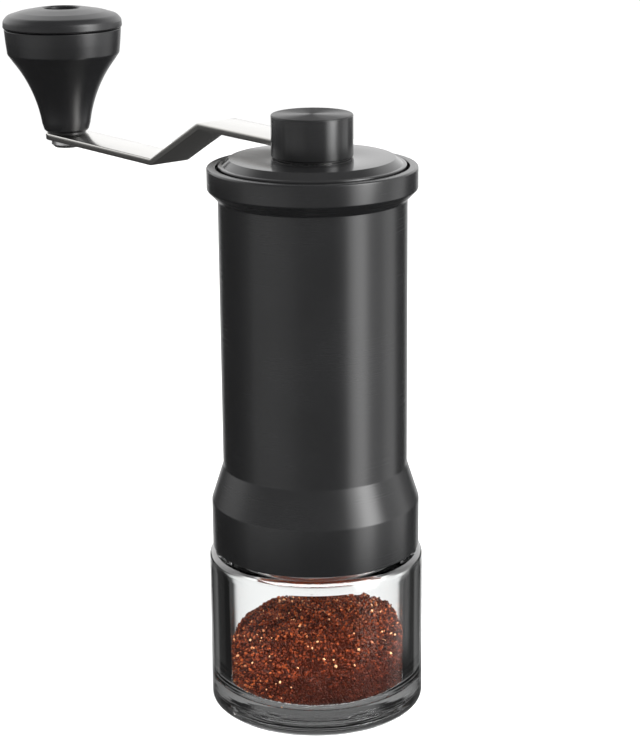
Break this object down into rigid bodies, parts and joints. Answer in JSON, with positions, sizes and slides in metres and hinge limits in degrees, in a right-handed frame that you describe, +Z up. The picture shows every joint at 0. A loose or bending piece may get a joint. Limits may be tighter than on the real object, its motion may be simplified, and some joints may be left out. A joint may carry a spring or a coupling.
{
  "type": "hand coffee grinder",
  "caption": "Tall round hand coffee grinder with a screw-on glass catch jar, conical burrs, a lift-off lid and a folded strip crank with a turning knob.",
  "frame": {"origin": "centre of the jar's flat bottom face", "axes": "+Z up along the drive shaft; the crank arm points along -X at rest; +Y completes the right-handed frame"},
  "size_m": [0.1686, 0.0584, 0.1812],
  "materials": {
    "clear_glass": "clear polished",
    "black_anodised": "black anodised, satin",
    "bare_aluminium": "satin turned",
    "brushed_steel": "brushed along the strip",
    "tool_steel": "ground",
    "spring_steel": "bright drawn",
    "bronze": "plain machined",
    "black_rubber": "matt",
    "black_plastic": "satin moulded",
    "black_pom": "plain moulded"
  },
  "bodies": {
    "jar": {"jar": "clear_glass"},
    "seal": {"jar_gasket": "black_rubber"},
    "housing": {"body_shell": "black_anodised", "upper_bridge": "bare_aluminium", "bridge_ring": "spring_steel", "upper_outer_race": "spring_steel", "burr_carrier": "bare_aluminium", "lower_outer_race": "spring_steel", "outer_burr": "tool_steel", "burr_screw_1": "spring_steel", "burr_screw_2": "spring_steel", "burr_screw_3": "spring_steel", "carrier_ring": "spring_steel"},
    "upper_ball_set": {"upper_balls": "spring_steel", "upper_cage": "bronze"},
    "lower_ball_set": {"lower_balls": "spring_steel", "lower_cage": "bronze"},
    "spindle": {"drive_shaft": "brushed_steel", "upper_inner_race": "spring_steel", "spacer_sleeve": "bare_aluminium", "lower_inner_race": "spring_steel", "shaft_clip": "spring_steel", "spring_washer": "spring_steel", "end_clip": "spring_steel"},
    "burr": {"inner_burr": "tool_steel", "detent_plate": "bronze", "burr_spring": "spring_steel"},
    "dial": {"dial": "bare_aluminium", "detent_ball": "spring_steel", "detent_spring": "spring_steel"},
    "lid": {"lid": "black_anodised", "lid_o_ring": "black_rubber", "lid_bush": "bronze"},
    "crank": {"hub_cap": "black_anodised", "drive_socket": "brushed_steel", "hub_washer": "black_pom", "socket_clip": "spring_steel", "crank_arm": "brushed_steel", "knob_nut": "brushed_steel", "foot_washer": "black_pom", "head_washer": "black_pom", "knob_screw": "brushed_steel"},
    "knob": {"knob_body": "black_plastic", "knob_cap": "black_plastic", "knob_sleeve": "bronze"}
  },
  "joints": [
    {"name": "jar_lift", "type": "slide", "parent": "jar", "child": "seal", "axis": [0, 0, 1], "range_m": [0, 0.01201]},
    {"name": "jar_unscrew", "type": "hinge", "parent": "seal", "child": "housing", "pos_m": [0, 0, 0.05], "axis": [0, 0, 1], "range_deg": [0, 720]},
    {"name": "lid_lift", "type": "slide", "parent": "housing", "child": "lid", "axis": [0, 0, 1], "range_m": [0, 0.04]},
    {"name": "crank_turn", "type": "hinge", "parent": "lid", "child": "crank", "pos_m": [0, 0, 0.148], "axis": [0, 0, 1], "continuous": true},
    {"name": "knob_spin", "type": "hinge", "parent": "crank", "child": "knob", "pos_m": [-0.1215, 0, 0.16], "axis": [0, 0, 1], "continuous": true},
    {"name": "spindle_turn", "type": "hinge", "parent": "housing", "child": "spindle", "pos_m": [0, 0, 0.1], "axis": [0, 0, 1], "continuous": true},
    {"name": "upper_ball_turn", "type": "hinge", "parent": "housing", "child": "upper_ball_set", "pos_m": [0, 0, 0.108], "axis": [0, 0, 1], "continuous": true},
    {"name": "lower_ball_turn", "type": "hinge", "parent": "housing", "child": "lower_ball_set", "pos_m": [0, 0, 0.0905], "axis": [0, 0, 1], "continuous": true},
    {"name": "burr_feed", "type": "slide", "parent": "spindle", "child": "burr", "axis": [0, 0, 1], "range_m": [-0.0012, 0.0004], "deforming": ["burr_spring"]},
    {"name": "dial_turn", "type": "hinge", "parent": "burr", "child": "dial", "pos_m": [0, 0, 0.056], "axis": [0, 0, 1], "range_deg": [-540.01, 180.01]}
  ],
  "couplings": [
    {"joint": "jar_lift", "follows": "jar_unscrew", "m_per_rad": 0.00095493},
    {"joint": "spindle_turn", "follows": "crank_turn", "ratio": 1},
    {"joint": "upper_ball_turn", "follows": "crank_turn", "ratio": 0.408},
    {"joint": "lower_ball_turn", "follows": "crank_turn", "ratio": 0.408},
    {"joint": "dial_turn", "follows": "burr_feed", "rad_per_m": 7854}
  ]
}
